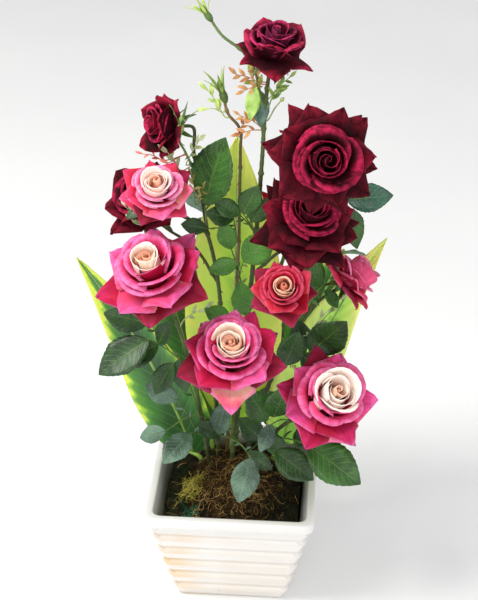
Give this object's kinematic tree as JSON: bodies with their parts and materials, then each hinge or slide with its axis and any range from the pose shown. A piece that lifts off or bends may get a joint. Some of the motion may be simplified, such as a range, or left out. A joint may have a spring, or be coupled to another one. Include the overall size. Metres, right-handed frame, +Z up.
{
  "type": "artificial rose bush in a square pot",
  "caption": "Artificial rose bush: crimson and pink silk roses, buds, rose leaves and broad two-tone leaves on wired canes, in a white square ribbed pot filled with moss.",
  "frame": {"origin": "centre of the pot's flat underside", "axes": "+Z up along the plant; -Y towards the front, the side seen in the picture; +X to the right from the front"},
  "size_m": [0.264, 0.2269, 0.553],
  "materials": {
    "glaze": "glossy white glaze",
    "moss": "curled brown moss over dark green foam",
    "cane": "satin olive plastic over wire",
    "rose_leaf": "printed polyester leaf with a slight sheen",
    "two_tone_leaf": "printed polyester leaf, lime with a yellow edge",
    "bud": "satin moulded plastic",
    "crimson_silk": "velvety polyester",
    "pink_silk": "polyester silk, pink rims on cream hearts"
  },
  "bodies": {
    "root": {"pot": "glaze", "moss_filling": "moss", "rose_top": "crimson_silk", "rose_left_high": "crimson_silk", "rose_left_back": "crimson_silk", "rose_left_mid": "pink_silk", "rose_right_high": "crimson_silk", "rose_right_low": "crimson_silk", "rose_left_low": "pink_silk", "rose_small": "pink_silk", "rose_side": "pink_silk", "rose_front": "pink_silk", "rose_front_right": "pink_silk", "rose_back_high": "crimson_silk", "rose_back_left": "pink_silk", "rose_back_mid": "pink_silk", "cane_tall": "cane", "cane_bud": "cane", "cane_left_high": "cane", "cane_left_low": "cane", "cane_right": "cane", "cane_front": "cane", "cane_low_right": "cane", "cane_back": "cane", "bough_right_low": "cane", "bough_right_high": "cane", "bough_small": "cane", "bough_left_back": "cane", "bough_left_mid": "cane", "bough_bud_top": "cane", "bough_bud_left": "cane", "bough_back_left": "cane", "bough_back_mid": "cane", "bud_top": "bud", "bud_middle": "bud", "bud_left": "bud", "broad_leaf_left": "two_tone_leaf", "broad_leaf_middle": "two_tone_leaf", "broad_leaf_right": "two_tone_leaf", "broad_leaf_back_left": "two_tone_leaf", "broad_leaf_back_right": "two_tone_leaf", "leaf_spray_01": "rose_leaf", "leaf_spray_02": "rose_leaf", "leaf_spray_03": "rose_leaf", "leaf_spray_04": "rose_leaf", "leaf_spray_05": "rose_leaf", "leaf_spray_06": "rose_leaf", "leaf_spray_07": "rose_leaf", "leaf_spray_08": "rose_leaf", "leaf_spray_09": "rose_leaf", "leaf_spray_10": "rose_leaf", "leaf_spray_11": "rose_leaf", "leaf_spray_12": "rose_leaf", "leaf_spray_13": "rose_leaf", "leaf_spray_14": "rose_leaf", "leaf_spray_15": "rose_leaf", "leaf_spray_16": "rose_leaf", "leaf_spray_17": "rose_leaf", "leaf_spray_18": "rose_leaf", "leaf_spray_19": "rose_leaf"}
  },
  "joints": []
}
